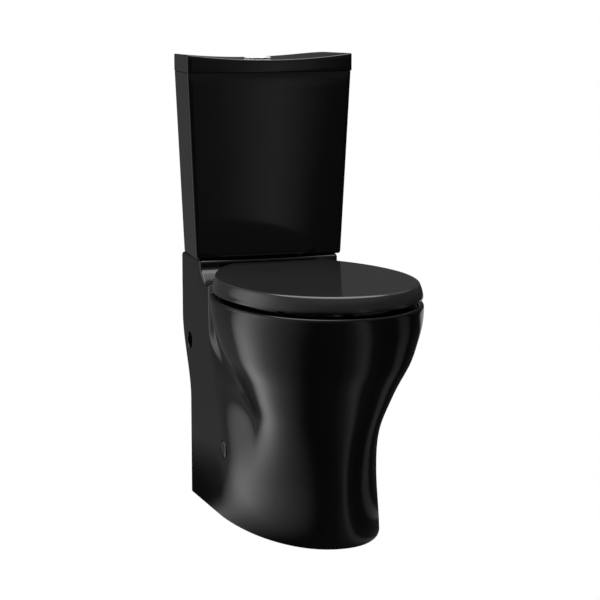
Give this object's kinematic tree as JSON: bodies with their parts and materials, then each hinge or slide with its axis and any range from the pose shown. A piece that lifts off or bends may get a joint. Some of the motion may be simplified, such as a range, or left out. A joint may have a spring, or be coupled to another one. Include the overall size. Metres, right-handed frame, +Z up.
{
  "type": "close coupled toilet",
  "caption": "Black close coupled toilet with a skirted pan, dual flush tank, concave tank lid and wrap-over oval seat.",
  "frame": {"origin": "bottom centre of the bounding box, on the floor", "axes": "+Z up, the front of the pan faces -Y, +X to the right of someone facing the front"},
  "size_m": [0.363, 0.643, 0.844],
  "materials": {
    "glaze": "gloss black glaze",
    "seat_plastic": "gloss black",
    "chromed_plastic": "chrome plated plastic",
    "chrome": "polished",
    "steel": "zinc plated",
    "white_plastic": "moulded",
    "grey_plastic": "moulded",
    "black_rubber": "matt",
    "red_rubber": "matt"
  },
  "bodies": {
    "toilet_body": {"pan_skirt": "glaze", "bowl": "glaze", "tank_platform": "glaze", "trapway": "glaze", "fill_valve_body": "white_plastic", "fill_valve_cap": "grey_plastic", "fill_valve_nut": "white_plastic", "fill_valve_washer": "black_rubber", "floor_bracket_left": "steel", "floor_bracket_right": "steel", "floor_screw_left": "steel", "floor_screw_right": "steel", "flush_valve_body": "white_plastic", "flush_valve_nut": "white_plastic", "hinge_nut_left": "white_plastic", "hinge_nut_right": "white_plastic", "hinge_pin_left": "steel", "hinge_pin_right": "steel", "hinge_post_left": "chrome", "hinge_post_right": "chrome", "hinge_stud_left": "steel", "hinge_stud_right": "steel", "refill_tube": "white_plastic", "side_cap_left": "seat_plastic", "side_cap_right": "seat_plastic", "side_screw_left": "steel", "side_screw_right": "steel", "tank": "glaze", "tank_bolt_left": "steel", "tank_bolt_nut_left": "white_plastic", "tank_bolt_nut_right": "white_plastic", "tank_bolt_right": "steel", "tank_bolt_washer_left": "black_rubber", "tank_bolt_washer_right": "black_rubber", "tank_gasket": "black_rubber"},
    "seat_ring": {"ring_bumper_front_left": "black_rubber", "ring_bumper_front_right": "black_rubber", "ring_bumper_rear_left": "black_rubber", "ring_bumper_rear_right": "black_rubber", "seat_ring": "seat_plastic"},
    "seat_lid": {"lid_bumper_left": "black_rubber", "lid_bumper_right": "black_rubber", "seat_lid": "seat_plastic"},
    "tank_lid": {"button_bezel": "chromed_plastic", "button_nut": "white_plastic", "tank_lid": "glaze"},
    "full_flush_button": {"full_flush_button": "chromed_plastic", "full_push_rod": "white_plastic"},
    "half_flush_button": {"half_flush_button": "chromed_plastic", "half_push_rod": "white_plastic"},
    "valve_canister": {"canister_seal": "red_rubber", "valve_canister": "grey_plastic"},
    "float_cup": {"float_cup": "grey_plastic"}
  },
  "joints": [
    {"name": "seat_ring_hinge", "type": "hinge", "parent": "toilet_body", "child": "seat_ring", "pos_m": [0, 0.127, 0.441], "axis": [-1, 0, 0], "range_deg": [0, 91]},
    {"name": "seat_lid_hinge", "type": "hinge", "parent": "seat_ring", "child": "seat_lid", "pos_m": [0, 0.127, 0.441], "axis": [1, 0, 0], "range_deg": [-91, 0]},
    {"name": "tank_lid_lift", "type": "slide", "parent": "toilet_body", "child": "tank_lid", "axis": [0, 0, 1], "range_m": [0, 0.2]},
    {"name": "full_flush_press", "type": "slide", "parent": "tank_lid", "child": "full_flush_button", "axis": [0, 0, -1], "range_m": [0, 0.008], "stiffness_N_per_m": 300, "springref_m": -0.005},
    {"name": "half_flush_press", "type": "slide", "parent": "tank_lid", "child": "half_flush_button", "axis": [0, 0, -1], "range_m": [0, 0.008], "stiffness_N_per_m": 300, "springref_m": -0.005},
    {"name": "canister_lift", "type": "slide", "parent": "toilet_body", "child": "valve_canister", "axis": [0, 0, 1], "range_m": [0, 0.02]},
    {"name": "float_rise", "type": "slide", "parent": "toilet_body", "child": "float_cup", "axis": [0, 0, 1], "range_m": [0, 0.06]}
  ],
  "couplings": [
    {"joint": "canister_lift", "follows": "full_flush_press", "ratio": 2.5}
  ]
}
